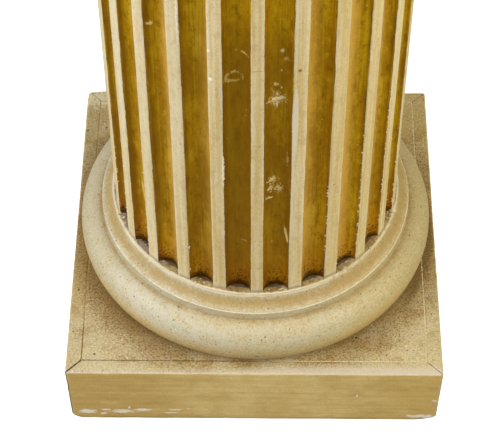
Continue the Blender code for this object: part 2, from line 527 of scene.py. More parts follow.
def makeTurnedPaint(name):
    material, place = newPaint(name)
    x, y, z = place.parts()
    clouds = noise(place, 0.05, 4.0, 0.6)
    patches = noise(place, 0.012, 4.0, 0.65)
    lines = useGroup(grainGroup, turnedPlace(place), strokeSize=(0.0013, 0.02, 0.0013))["Fine"]
    grime = useGroup(grimeAndShadeGroup, place, recess=pointValue(place, "recess"), cloudSize=0.014)["Mask"]
    flecks = useGroup(fleckGroup, place, fleckSize=0.0021)
    # Chalky to the left of the front, yellower to the right of it: partly the paint's own change, partly
    # painted light of the cool left lamp and the warm right lamp
    sideways = x + (clouds - 0.5) * 0.16
    color = blend(sideways.step(-0.01, -0.10), creamPaint["pale"], creamPaint["chalk"])
    color = layTones(color, creamPaint, [
        (sideways.step(0.04, 0.16), "warm"),
        (patches.step(0.46, 0.66, 0, 0.5), "warm"),
        (patches.step(0.46, 0.30, 0, 0.5), "chalk"),
        (lines.step(0.52, 0.78, 0, 0.35), "line"),
        # painted shade towards the left and right sides, where the round turns away from the front
        (abs(x).step(0.12, 0.17, 0, 0.35), "line"),
        # painted shade low on the half round, where it turns under, with some grime
        (z.step(0.133, 0.110, 0, 0.8), "lowTan"),
        # grime and painted shade where the recess value is high, in grooves, corners and at the foot of the
        # half round
        (grime * 0.9, "grime"),
        (flecks["Dark"] * (patches + grime * 0.35).step(0.36, 0.66, 0.22, 0.62), "freckle"),
        (flecks["Pale"] * grime.step(0.1, 0.7, 0.42, 0.16), "rosy"),
        (dots(place, 0.0034, 0.22, 0.26) * 0.6, "greyPit"),
        (dots(place, 0.0060, 0.40, 0.17) * 0.85, "pit"),
        (dots(place, 0.0100, 0.70, 0.12) * 0.9, "hole"),
        # paler along the edges the edge value marks: partly worn paint, partly a painted highlight where
        # they catch the light
        (edgeBreakup(place, "edge", 0.005, 0.62) * 0.9, "bare"),
    ])
    return finishPaint(material, color, (flecks["Dark"] + grime).step(0, 1.5, 0.46, 0.72), [
        (lines - dots(place, 0.0062, 0.16, 0.17) * 0.8, 0.00025, 0.6),
        (patches - flecks["Dark"] * 0.4, 0.0003, 0.6),
    ])


def nearness(points, corners, reach):  # 1 at the nearest of the corners, fading over the reach
    away = [np.linalg.norm(points - np.array(corner), axis=1) for corner in corners]
    return np.exp(-(np.min(away, axis=0) / reach) ** 2)


turnedWear = {
    "nickSize": 0.009,
    "nickSpread": 0.05,
    "nickLimits": (0.35, 0.85, 0.0, 0.6),
    "fineNickSize": 0.0035,
    "fineNickShare": 0.35,
    "rubDepth": 0.00012,
    "rubSize": 0.02,
    "waveSize": 0.07,
    "rippleSize": 0.012,
    "rippleShare": 0.35,
    "dropShare": 0.6,
}


def makeTurned(name, profile, size, edge, recess, seed, paint):  # spins a profile round
    around, own = size["around"], turnedWear
    angle = np.tile(-pi / 2 + 2 * pi * np.arange(around) / around, len(profile))
    outward = np.stack([np.cos(angle), np.sin(angle), np.zeros_like(angle)], axis=1)
    points = outward * np.repeat(profile[:, 0], around)[:, None]
    points[:, 2] = np.repeat(profile[:, 1], around)
    edges = np.repeat(edge, around)
    nicks = knocks(points, own["nickSize"], own["nickSpread"], seed, own["nickLimits"])
    fineNicks = easeBetween(0.45, 0.9, softNoise(points, own["fineNickSize"], seed + 2))
    loss = edges * (nicks + own["fineNickShare"] * fineNicks) * size["nickDepth"]
    loss += edges * own["rubDepth"] * (1 + softNoise(points, own["rubSize"], seed + 5))
    wave, ripple = (1, own["waveSize"], seed + 3), (own["rippleShare"], own["rippleSize"], seed + 4)
    points += outward * (size["wobble"] * (waves(points, wave, ripple) - 1) - loss)[:, None]
    points[:, 2] -= loss * own["dropShare"]
    addPiece(name, points, tubeFaces(len(profile), around), makeTurnedPaint(paint), "cream_paint", {
        "edge": edges * (0.75 + 0.25 * softNoise(points, 0.03, seed + 6)) + 0.4 * edges * nicks,
        "recess": np.repeat(recess, around),
    })


# Base moulding: a large half round with a step, a hollow and a lip above it

baseMoulding = {
    "around": 600,
    "lipHeight": 0.0025,
    "lipRound": 0.0007,
    "hollowHeight": 0.0145,
    "hollowWidth": 0.0124,
    "hollowSag": 0.0022,
    "stepRound": 0.0009,
    "stepSetBack": 0.0249,
    "halfRoundHeight": 0.052,
    "halfRoundBulge": 0.0204,
    "capRadius": 0.118,
    "ledgeStart": 0.136,
    "wobble": 0.00016,
    "nickDepth": 0.0011,
}


def makeBaseMoulding():
    size = baseMoulding
    low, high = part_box("base_moulding")
    top, bottom = high.z, low.z
    stepRadius = high.x - size["stepSetBack"]
    lipRadius = stepRadius - size["hollowWidth"]
    lipBottom = top - size["lipHeight"]
    stepTop = lipBottom - size["hollowHeight"]
    halfHeight, bulge = size["halfRoundHeight"] / 2, size["halfRoundBulge"]
    centre = (high.x - bulge, bottom + halfHeight)
    startAngle = 90 + np.degrees(asin((centre[0] - stepRadius) / bulge))
    grooveHeight = centre[1] + halfHeight * sin(radians(startAngle))
    lipRound, stepRound = size["lipRound"], size["stepRound"]
    hollow = linePoints((lipRadius, lipBottom), (stepRadius, stepTop), 22)
    hollow -= np.outer(size["hollowSag"] * np.sin(pi * np.linspace(0, 1, 22)), (1, 0.5))
    hollow = hollow[hollow[:, 0] < stepRadius - stepRound]
    profile = joinRuns([
        linePoints((size["capRadius"], top), (size["ledgeStart"], top), 3),
        linePoints((size["ledgeStart"], top), (lipRadius - lipRound, top), 14),
        arcPoints((lipRadius - lipRound, top - lipRound), (lipRound, lipRound), 90, 0, 5),
        linePoints((lipRadius, top - lipRound), (lipRadius, lipBottom), 3),
        hollow,
        arcPoints((stepRadius - stepRound, stepTop - stepRound), (stepRound, stepRound), 90, 0, 6),
        linePoints((stepRadius, stepTop - stepRound), (stepRadius, grooveHeight), 10),
        arcPoints(centre, (bulge, halfHeight), startAngle, -90, 62),
        linePoints((centre[0], bottom), (size["capRadius"], bottom), 5),
    ])
    edge = np.max([
        nearness(profile, [(lipRadius, top)], 0.0022),
        nearness(profile, [(lipRadius, lipBottom)], 0.0026),
        nearness(profile, [(stepRadius, stepTop)], 0.0012),
    ], axis=0)
    ledge = easeBetween(lipRadius - 0.0015, lipRadius - 0.006, profile[:, 0])
    # The recess value: painted shade with grime in the groove under the step, at the half round's foot and
    # in the hollow under the lip, and dust on the ledge
    recess = 0.62 * nearness(profile, [(stepRadius, grooveHeight)], 0.0062)
    recess += 0.9 * nearness(profile, [(high.x - 0.006, bottom)], 0.023)
    recess += 0.9 * nearness(profile, [(lipRadius + 0.005, lipBottom - 0.008)], 0.0085)
    recess += ledge * easeBetween(top - 0.002, top, profile[:, 1])
    recess = np.minimum(recess, 1.2)
    makeTurned("base_moulding", profile, size, edge, recess, 11, "baseMouldingPaint")


makeBaseMoulding()
print("Base moulding made")


# Plinth: four mitred boards round a flush panel

plinth = {
    "thickness": 0.016,
    "rounding": 0.0023,
    "jointGap": 0.0003,
    "stations": 150,
    "seamEasing": 0.0003,
    "closeBand": 0.0024,
    "panelStep": 0.0032,
    "cornerLoss": 0.0025,
    "lowCornerLoss": 0.0055,
    "knockDepth": 0.0022,
    "taper": 0.009,
    "endWander": (0.00025, 0.012),  # depth and size
    "openEnd": {("front", -1): 0.0007, ("left", 1): 0.0005},
    "edgeWaves": [(0.0005, 0.03, 5), (0.0006, 0.007, 6)],  # depth, size and seed
    "topWave": (0.00012, 0.03, 9),
    "panelWaves": [(0.00010, 0.025, 16), (0.00006, 0.006, 17)],
    "panelSink": 0.00016,
    "panelRounding": 0.0002,
}
plinthPaint = paintTones(
    sideLight=(238, 211, 140), sideWarm=(221, 187, 107), sideDeep=(208, 172, 94),
    sideStreak=(188, 152, 80), sideLine=(162, 129, 68),
    topPale=(211, 197, 160), topTan=(188, 164, 110), topAsh=(196, 184, 156), topOlive=(198, 171, 106),
    topBrown=(110, 84, 44), shadow=(122, 92, 34), stain=(148, 113, 40), grime=(138, 101, 30),
    contact=(112, 84, 40), dark=(58, 44, 26), seamDirt=(100, 76, 40), crumb=(234, 222, 184),
    arris=(212, 200, 184), chip=(252, 246, 232), fringe=(232, 196, 140),
)
frontChips = {  # place along X and height, then half sizes, on the front face of the plinth
    "first": (-0.1811, 0.0150, 0.0100, 0.0046),
    "underFirst": (-0.1632, 0.0109, 0.0050, 0.0020),
    "besideFirst": (-0.1603, 0.0182, 0.0060, 0.0018),
    "long": (-0.1425, 0.0150, 0.0140, 0.0040),
    "longTail": (-0.1207, 0.0182, 0.0130, 0.0028),
    "peak": (-0.1351, 0.0226, 0.0014, 0.0036),
    "dashLow": (-0.0891, 0.0126, 0.0080, 0.0015),
    "dashHigh": (-0.0851, 0.0184, 0.0070, 0.0015),
    "dot": (-0.0713, 0.0204, 0.0024, 0.0011),
    "cornerRight": (0.1817, 0.0086, 0.0190, 0.0034),
    "edgeRight": (0.1947, 0.0395, 0.0030, 0.0018),
    "pale": (0.1106, 0.0487, 0.0010, 0.0030),
}
nailHoles = [(-0.1748, 0.1421), (-0.1966, 0.1374), (-0.1922, -0.0916), (-0.1701, -0.1761), (0.1090, -0.1530)]
plinthHalf = -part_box("plinth_board_front")[0].y
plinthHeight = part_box("plinth_top_panel")[1].z


def dustyTopColor(place):  # speckled tan of the plinth's upper faces
    x, y, z = place.parts()
    clouds = noise(place, 0.045, 5.0, 0.65)
    salt = noise(place, 0.0017, 2.0, 0.8)
    fibre = useGroup(grainGroup, place, strokeSize=(0.007, 0.0014, 0.004))["Fine"]
    flecks = useGroup(fleckGroup, place, fleckSize=0.0023)
    nearRight = x.step(0.10, 0.187) * y.step(-0.08, -0.14)
    farRight = x.step(0.12, 0.17) * y.step(-0.04, 0.02)
    nearLeft = x.step(-0.02, -0.15) * y.step(-0.08, -0.17)
    # Dirt and painted shade lie round the base moulding, thickest beside its front and thin just before it,
    # with a painted contact shadow along its edge and a painted shadow by its right foot
    radius = makeVector(x, y, 0.0).length()
    clouded = radius + (clouds - 0.5) * 0.09
    beside = abs(x).step(0.03, 0.12, 0.2, 1.0)
    dirtAndShade = clouded.step(0.232, 0.184) * beside
    stained = noise(place, 0.022, 4.0, 0.6).step(0.47, 0.64) * clouded.step(0.262, 0.225)
    rightFoot = x.step(0.15, 0.175) * radius.step(0.203, 0.195)
    paleShare = dirtAndShade.step(0.1, 0.8, 0.42, 0.12)
    wavy = radius + (salt - 0.5) * 0.006
    scraped = useGroup(markGroup, place, centre=(-0.186, 0.188, plinthHeight), halfSize=(0.018, 0.016, 0.02),
                       ragged=1.8, grainSize=(0.0022, 0.0040, 0.0040))["Mask"]
    layers = [
        (fibre.step(0.46, 0.72, 0, 0.45), "topTan"),
        (nearRight * 0.6, "topPale"),
        (farRight * clouds.step(0.30, 0.60, 0.45, 0.85), "topOlive"),
        (nearLeft * 0.5, "topAsh"),
        # dirt and painted shade near the base moulding
        (dirtAndShade * x.step(-0.02, 0.08, 0.85, 0.5), "grime"),
        (stained * 0.55, "stain"),
        (rightFoot * 0.85, "shadow"),
        (flecks["Dark"] * (clouds + dirtAndShade).step(0.42, 1.15, 0.22, 0.85), "topBrown"),
        (flecks["Pale"] * paleShare, "crumb"),
        (salt.step(0.52, 0.66, 0, 0.3), "topBrown"),
        (salt.step(0.44, 0.32) * paleShare, "crumb"),
        (dots(place, 0.0040, 0.34, 0.26) * 0.6, "topBrown"),
        (dots(place, 0.0070, 0.34, 0.17) * 0.75, "dark"),
        (dots(place, 0.0090, 0.12, 0.13) * 0.9, "crumb"),
        # painted contact shadow along the base moulding's edge
        (wavy.step(0.1900, 0.1865) * beside * 0.3, "contact"),
        (scraped * 0.7, "crumb"),
    ]
    for holeX, holeY in nailHoles:
        hole = useGroup(markGroup, place, centre=(holeX, holeY, plinthHeight),
                        halfSize=(0.0013, 0.0013, 0.004), ragged=0.3)
        layers.append((hole["Mask"], "dark"))
    color = blend(clouds.step(0.32, 0.62), plinthPaint["topPale"], plinthPaint["topTan"])
    return layTones(color, plinthPaint, layers), salt, fibre


def seamColor(place):  # filled with pale paint at the right and front right, dark elsewhere
    x, y, z = place.parts()
    pale = x.step(0.172, 0.180).larger(y.step(-0.170, -0.180) * x.step(-0.02, 0.05))
    left = x.step(-0.172, -0.180) * y.step(-0.15, -0.10)
    plain = blend(left * 0.75, plinthPaint["seamDirt"], plinthPaint["topTan"])
    return blend(pale, plain, plinthPaint["crumb"])


def makeTopPaint():
    material, place = newPaint("plinthTopPaint")
    color, salt, fibre = dustyTopColor(place)
    color = blend(edgeBreakup(place, "edge", 0.003, 0.34) * 0.8, color, seamColor(place))
    heights = [(fibre, 0.0002, 0.5), (salt, 0.00035, 0.6)]
    return finishPaint(material, color, salt.step(0.3, 0.7, 0.6, 0.85), heights)


def makeBoardPaint():
    material, place = newPaint("plinthBoardPaint")
    look = plinthPaint
    x, y, z = place.parts()
    grain = useGroup(grainGroup, place, strokeSize=(0.06, 0.06, 0.0016))
    broad, fine = grain["Broad"], grain["Fine"]
    clouds = noise(place, 0.05, 4.0, 0.6)
    shift = (clouds - 0.5) * 0.14
    blotches = noise(place / (0.034, 0.034, 0.014), 1.0, 5.0, 0.65)
    flecks = useGroup(fleckGroup, place, fleckSize=0.0020)
    chipped, rim = 0.0, 0.0
    for middle, height, halfWidth, halfHeight in frontChips.values():
        mark = useGroup(markGroup, place, centre=(middle, -plinthHalf, height), ragged=1.0,
                        halfSize=(halfWidth, 0.012, halfHeight), grainSize=(0.0060, 0.0060, 0.0016))
        chipped = mark["Mask"].larger(chipped)
        rim = mark["Rim"].larger(rim)
    lowLine = z + ((fine - 0.5) * 0.012 + shift * 0.06)
    side = blend((abs(x - 0.02) + shift).step(0.04, 0.15), look["sideLight"], look["sideWarm"])
    side = layTones(side, look, [
        ((x + shift).step(-0.06, -0.14, 0, 0.6), "sideDeep"),
        (clouds.step(0.38, 0.68, 0, 0.6), "sideDeep"),
        (broad.step(0.48, 0.66, 0, 0.24), "sideStreak"),
        (broad.step(0.46, 0.30, 0, 0.2), "sideLight"),
        (blotches.step(0.50, 0.68, 0, 0.4), "sideStreak"),
        (blotches.step(0.46, 0.32, 0, 0.4), "sideLight"),
        (fine.step(0.54, 0.78, 0, 0.4), "sideLine"),
        (flecks["Dark"] * 0.16, "sideLine"),
        (flecks["Pale"] * 0.16, "crumb"),
        (dots(place, 0.0055, 0.24, 0.16) * 0.6, "sideLine"),
        (dots(place, 0.0240, 0.12, 0.05) * 0.7, "dark"),
        (rim * 0.5, "fringe"),
        (chipped * 0.95, "chip"),
        (lowLine.step(0.0060, 0.0035, 0, 0.6), "sideLine"),
        (lowLine.step(0.0032, 0.0012, 0, 0.7), "fringe"),
    ])
    # The front board's top turns pale towards its front edge, more to the right: partly rubbed paint, partly
    # a painted highlight
    top, salt, fibre = dustyTopColor(place)
    rubbedAndLit = y + (salt - 0.5) * 0.008 + x.step(-0.06, 0.10, 0.0015, -0.0030)
    top = blend(rubbedAndLit.step(-0.1880, -0.1975) * x.step(-0.14, 0.06, 0.25, 0.75), top, look["arris"])
    color = blend(surfaceUp(place).step(0.55, 0.8), side, top)
    # paler along the boards' edges: partly worn paint, partly a painted highlight on the top edges
    color = blend(edgeBreakup(place, "edge", 0.004, 0.60) * 0.9, color, look["arris"])
    color = blend(edgeBreakup(place, "joint", 0.003, 0.40) * 0.85, color, seamColor(place))
    color = blend(edgeBreakup(place, "mitre", 0.0035, 0.5) * 0.85, color, look["dark"])
    heights = [(fine - chipped, 0.0003, 0.5), (salt, 0.00025, 0.4)]
    return finishPaint(material, color, (fine + chipped).step(0.3, 1.2, 0.48, 0.75), heights)


def boardSection():  # depth in from the outer face and height, once round the board
    thick, height = plinth["thickness"], plinthHeight
    easing, close = plinth["seamEasing"], plinth["closeBand"]
    here = (thick, height - easing)
    stops = [  # depth, height and the steps that lead there
        (thick - easing, height, 1), (close, height, 8), (0, height, 4), (0, height - close, 4),
        (0, close, 29), (0, 0, 4), (close, 0, 4), (thick, 0, 4), (*here, 11),
    ]
    runs = []
    for depth, level, steps in stops:
        runs.append(linePoints(here, (depth, level), steps + 1)[:-1])
        here = (depth, level)
    return np.concatenate(runs)


def makeBoard(side, quarter, material):
    height, half, thick = plinthHeight, plinthHalf, plinth["thickness"]
    section = boardSection()
    fine = np.array([0.0, 0.0005, 0.0010, 0.0016, 0.0024, 0.0036, 0.0056])
    middle = np.linspace(0.0085, 2 * half - 0.0085, plinth["stations"])
    share = np.concatenate([fine, middle, 2 * half - fine[::-1]]) / half - 1
    rows, columns = len(share), len(section)
    depth, level = np.tile(section, (rows, 1)).T
    along = np.repeat(share, columns) * (half - depth)
    points = np.stack([along, -half + depth, level], axis=1)
    # Each end stands back from the mitre, unevenly, and the front left one most of all
    endGap = plinth["jointGap"] * 0.7 + np.abs(waves(points, (*plinth["endWander"], 31 + quarter * 7)))
    for end in (-1, 1):
        atEnd = easeBetween(half - 0.010, half, np.abs(points[:, 0]) + depth)
        atEnd = atEnd * (np.sign(points[:, 0]) == end)
        points[:, 0] -= end * atEnd * (endGap + plinth["openEnd"].get((side, end), 0.0))
    world = turnFlat(points, quarter * pi / 2)
    x, y, z = world.T
    rounding = plinth["rounding"] + waves(world, *plinth["edgeWaves"])
    rounding += plinth["cornerLoss"] * easeBetween(0.02, 0.004, np.hypot(x + half, y - half))
    # The two lower corners at the front are knocked off, the right one along the edge
    reach = np.where(x > 0, 0.022, 0.011)
    fromCorner = np.stack([(half - np.abs(x)) / reach, (half + y) / 0.012, z / 0.010])
    knocked = easeBetween(1.0, 0.3, np.linalg.norm(fromCorner, axis=0) + 0.2 * softNoise(world, 0.004, 10))
    rounding += plinth["lowCornerLoss"] * knocked + plinth["knockDepth"] * knocks(world, 0.008, 0.06, 7)
    centre = np.array([0.0, 0.0, height / 2])
    shaped = roundBlock(world, centre, np.array([half, half, height / 2]), rounding)
    onTop = level > height - 0.001
    topWave = waves(world, plinth["topWave"]) * easeBetween(0.004, 0.02, depth)
    shaped[:, 2] += onTop * (topWave - plinth["topWave"][0])
    # The plinth's outside is a little narrower at the floor
    outside = 1 - depth / thick
    shaped[:, 0] *= 1 - plinth["taper"] * outside * (1 - shaped[:, 2] / height)
    fromMitre = half - np.abs(points[:, 0]) - depth
    topEdge = (0.62 if side == "front" else 0.45) * np.exp(-(np.hypot(depth, height - level) / 0.0030) ** 2)
    lowEdge = 0.5 * np.exp(-(np.hypot(depth, level) / 0.0018) ** 2)
    sideEdge = 0.5 * np.exp(-((fromMitre + depth - 0.0022) / 0.0018) ** 2) * (depth < 0.003)
    frontLeft, atRight = (x < 0) & (y < 0), x > 0.17
    seam = np.exp(-((thick - depth) / np.where(atRight, 0.0014, 0.0009)) ** 2) * (level > height - 0.002)
    mitre = np.exp(-(np.maximum(fromMitre, 0) / np.where(frontLeft, 0.0020, 0.0009)) ** 2)
    addPiece("plinth_board_" + side, shaped, tubeFaces(rows, columns), material, "ochre_paint", {
        "edge": np.max([topEdge, lowEdge, sideEdge], axis=0),
        "joint": seam * np.where(atRight, 0.86, 0.75),
        "mitre": mitre * np.where(frontLeft, 1.05, 0.88),
    })


def makePanel(material):
    fine = [0.0, 0.0004, 0.0009, 0.0016]
    points, faces, centre, size = blockGrid("plinth_top_panel", plinth["panelStep"], fine)
    rounding = plinth["panelRounding"] + 0.00015 * (1 + softNoise(points, 0.02, 15))
    shaped = roundBlock(points, centre, size, rounding)
    # Old paint fills the joint at the left and the right
    x, y, z = points.T
    atSide = (np.abs(x) > size[0] - 0.0006) * easeBetween(-0.16, -0.12, y)
    shaped[:, 0] += np.sign(x) * atSide * (plinth["jointGap"] + 0.0001)
    up = z > plinthHeight - 0.0005
    shaped[:, 2] += up * (waves(points, *plinth["panelWaves"]) - plinth["panelSink"])
    fromEdge = size[0] - np.maximum(np.abs(x), np.abs(y))
    values = {"edge": np.exp(-(fromEdge / 0.0012) ** 2) * up}
    addPiece("plinth_top_panel", shaped, faces, material, "ochre_paint", values)


boardPaint = makeBoardPaint()
for boardQuarter, boardSide in enumerate(["front", "right", "back", "left"]):
    makeBoard(boardSide, boardQuarter, boardPaint)
makePanel(makeTopPaint())
print("Plinth made")


# Fluted shaft

shaft = {
    "fluteCount": 24,
    "footRadius": 0.153,
    "topRadius": 0.128,
    "stripWidth": 0.0138,
    "fluteDepth": 0.0090,
    "firstStripTurn": radians(1.08),
    "straightShare": 1 / 3,
    "taperCurve": 1.6,
    "fluteSteps": 16,
    "arrisRound": 0.00035,
    "closeRings": 0.006,
    "wideRings": 0.020,
    "closeHeight": 0.62,
    "drawnWaves": [(0.00018, 0.03, 61), (0.00007, 0.005, 62)],  # depth, size and seed
    "edgeWander": (0.00045, 0.02, 66),
    "edgeRipple": (0.0003, 0.008, 67),
    "raggedSpread": 0.0002,
    "nickDepth": 0.0009,
    "rubDepth": 0.00012,
    "footSink": 0.0003,
}
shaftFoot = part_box("fluted_shaft")[0].z
pitch = 2 * pi / shaft["fluteCount"]
arrisShift = {  # how far hand work put a strip's left and right arris to the right, in millimetres
    -5: (-0.6, 0.4), -4: (-0.8, 0.9), -3: (-0.6, -0.4), -2: (-0.1, 0.4), -1: (0.6, 0.4), 0: (0.3, -1.1),
    1: (-0.9, -0.4), 2: (-0.5, 0.5), 3: (1.0, 1.1), 4: (0.6, 0.8), 5: (-0.5, 0.3),
}
raggedEdges = {-3: (1.8, 1.0), 2: (1.7, 0.8), 3: (2.4, 0.8), 4: (2.6, 1.2)}  # left and right, 1 is usual
shaftLook = paintTones(
    goldDeep=(192, 140, 0), goldWarm=(218, 169, 3), goldLight=(240, 202, 30), goldBrown=(146, 102, 1),
    goldOlive=(150, 108, 0), goldRust=(190, 114, 0), goldRubbed=(214, 172, 84),
    dirt=(84, 60, 16), footDirt=(70, 46, 6), film=(238, 214, 142), haze=(160, 126, 58),
    stripPale=(238, 221, 178), stripWarm=(220, 194, 130), stripWhite=(226, 213, 184),
    stripLine=(196, 168, 112), bare=(236, 226, 204), white=(255, 250, 228), speck=(128, 98, 56),
    rosy=(214, 184, 142), reddish=(150, 92, 48), faint=(216, 180, 96), ring=(230, 200, 110),
)
markRadius = 0.15
markGrain = (0.0018, 0.0018, 0.0030)
shaftMarks = {  # angle from the front and height, half width and height, turn, raggedness, colour, strength
    "blobHigh": (-15.7, 0.5286, 0.0015, 0.0020, 0, 0.4, "white", 0.9),
    "blobLow": (-15.3, 0.4923, 0.0021, 0.0026, 0, 0.4, "white", 1.0),
    "knotHalo": (15.4, 0.5036, 0.0030, 0.0040, 0, 1.2, "rosy", 0.7),
    "knot": (15.4, 0.5036, 0.0017, 0.0022, 0, 0.8, "reddish", 0.85),
    "knotDot": (13.8, 0.4727, 0.0008, 0.0011, 0, 0.4, "dirt", 0.8),
    "stripDot": (30.4, 0.3231, 0.0009, 0.0011, 0, 0.4, "dirt", 0.8),
    "scratch": (-4.0, 0.5242, 0.0046, 0.0017, -24, 1.5, "faint", 0.9),
    "scratchDot": (-6.8, 0.5256, 0.0012, 0.0012, 0, 0.8, "faint", 0.7),
    "scuffCore": (8.0, 0.4607, 0.0058, 0.0032, 0, 0.9, "white", 1.0),
    "scuffLeft": (5.8, 0.4588, 0.0058, 0.0012, -22, 1.6, "film", 0.95),
    "scuffRight": (10.1, 0.4632, 0.0046, 0.0012, -14, 1.4, "bare", 0.9),
    "scuffDown": (8.2, 0.4545, 0.0012, 0.0076, 0, 1.5, "bare", 0.9),
    "scuffDownLeft": (7.1, 0.4535, 0.0009, 0.0064, 12, 1.8, "film", 0.8),
    "scuffUp": (8.3, 0.4668, 0.0012, 0.0052, -6, 1.8, "film", 0.8),
    "scuffDust": (8.0, 0.4600, 0.0085, 0.0078, 0, 2.6, "film", 0.6),
    "trailLow": (6.8, 0.4714, 0.0012, 0.0052, 24, 1.8, "faint", 0.85),
    "trailHigh": (7.8, 0.4803, 0.0030, 0.0022, 20, 2.0, "film", 0.8),
    "trailDot": (9.8, 0.4754, 0.0015, 0.0020, 0, 1.4, "film", 0.8),
    "spotHigh": (9.8, 0.5242, 0.0018, 0.0030, -20, 1.4, "film", 0.85),
    "spotBeside": (11.1, 0.5145, 0.0026, 0.0028, 0, 1.9, "faint", 0.85),
    "spotLow": (9.6, 0.4982, 0.0009, 0.0016, 0, 0.6, "film", 0.8),
    "clusterHigh": (6.7, 0.3449, 0.0048, 0.0062, -15, 2.4, "film", 0.95),
    "clusterMiddle": (6.0, 0.3321, 0.0030, 0.0050, 0, 2.4, "film", 0.9),
    "clusterLow": (5.4, 0.3188, 0.0046, 0.0020, -20, 2.0, "film", 0.95),
    "clusterRight": (9.2, 0.3302, 0.0044, 0.0064, 0, 2.6, "film", 0.85),
    "drip": (12.2, 0.2606, 0.0013, 0.0135, 6, 0.6, "film", 0.95),
    "paleStreak": (12.1, 0.3765, 0.0011, 0.0110, 0, 1.2, "film", 0.4),
    "dropDot": (6.9, 0.2458, 0.0009, 0.0022, 0, 0.8, "faint", 0.8),
    "shortLine": (-4.2, 0.2498, 0.0042, 0.0007, 4, 1.2, "faint", 0.8),
    "leftSpot": (-40.3, 0.5278, 0.0022, 0.0028, 0, 1.2, "film", 0.9),
    "spill": (-50.3, 0.2275, 0.0046, 0.0330, 3, 0.7, "stripWarm", 0.95),
    "spillThin": (-52.4, 0.2588, 0.0013, 0.0200, 4, 1.2, "film", 0.7),
    "washOneHigh": (14.2, 0.4330, 0.0034, 0.0520, 0, 0.3, "bare", 0.75),
    "washOne": (13.8, 0.3600, 0.0014, 0.1300, 0, 0.5, "bare", 0.6),
    "washOneTop": (14.0, 0.5600, 0.0015, 0.0900, 0, 0.6, "bare", 0.5),
    "washMinusOne": (-11.4, 0.3644, 0.0012, 0.0260, 0, 1.0, "white", 0.95),
    "washMinusTwo": (-26.9, 0.5671, 0.0012, 0.0500, 0, 1.2, "white", 0.6),
    "crackHigh": (0.7, 0.5079, 0.0074, 0.0006, 1, 1.2, "speck", 0.4),
    "crackLow": (0.8, 0.4046, 0.0074, 0.0006, -1, 1.2, "speck", 0.4),
}
driedRing = (-7.6, 0.4910, 0.0088, 0.0066)  # angle, height and half sizes of the ring in one flute


def shaftShare(along):  # the radius at a share of the length, next to the foot's
    rise = np.clip((along - shaft["straightShare"]) / (1 - shaft["straightShare"]), 0, 1)
    return 1 - (1 - shaft["topRadius"] / shaft["footRadius"]) * rise ** shaft["taperCurve"]


def arrisAngles():  # left and right arris of each strip, as angles round the axis
    count, radius = shaft["fluteCount"], shaft["footRadius"]
    width = asin(shaft["stripWidth"] / 2 / radius)
    angles = []
    for index in range(count):
        middle = -pi / 2 + shaft["firstStripTurn"] + index * pitch
        strip = (index + count // 2) % count - count // 2  # 0 at the front, below zero to the left
        wander = (0.5 * sin(index * 2.7), 0.5 * sin(index * 4.1 + 1))
        left, right = arrisShift.get(strip, wander)
        angles.append((middle - width + left * 0.001 / radius, middle + width + right * 0.001 / radius))
    return angles


def shaftSection():
    # For each point once round: x, y, distance past the nearest arris (below zero on a strip),
    # strip number of that arris, its side and the place across the flute from -1 to 1
    radius, depth, steps = shaft["footRadius"], shaft["fluteDepth"], shaft["fluteSteps"]
    angles = arrisAngles()
    rows = []

    def addPoint(outward, offset, middle, *facts):
        rows.append((outward * cos(middle) - offset * sin(middle),
                     outward * sin(middle) + offset * cos(middle), *facts))

    for index, (left, right) in enumerate(angles):
        middle, swing = (left + right) / 2, (right - left) / 2
        width = radius * sin(swing)
        for offset in (-width, -width + 0.0007, -0.0023, 0.0023, width - 0.0007, width):
            outward = radius * cos(swing) - (shaft["arrisRound"] if abs(offset) == width else 0)
            addPoint(outward, offset, middle, abs(offset) - width, index, -1 if offset < 0 else 1, 0.0)
        nextIndex = (index + 1) % len(angles)
        following = angles[nextIndex][0] + (0 if nextIndex else 2 * pi)
        middle, swing = (right + following) / 2, (following - right) / 2
        chordHalf = radius * sin(swing)
        arcRadius = (chordHalf ** 2 + depth ** 2) / (2 * depth)
        arcHalf = asin(chordHalf / arcRadius)
        bottom = radius * cos(swing) - depth
        for step in range(1, steps):
            across = 2 * step / steps - 1
            angle = arcHalf * across
            outward = bottom + arcRadius * (1 - cos(angle))
            ownStrip, side = (index, 1) if angle <= 0 else (nextIndex, -1)
            past = arcRadius * (arcHalf - abs(angle))
            addPoint(outward, arcRadius * sin(angle), middle, past, ownStrip, side, across)
    return np.array(rows)


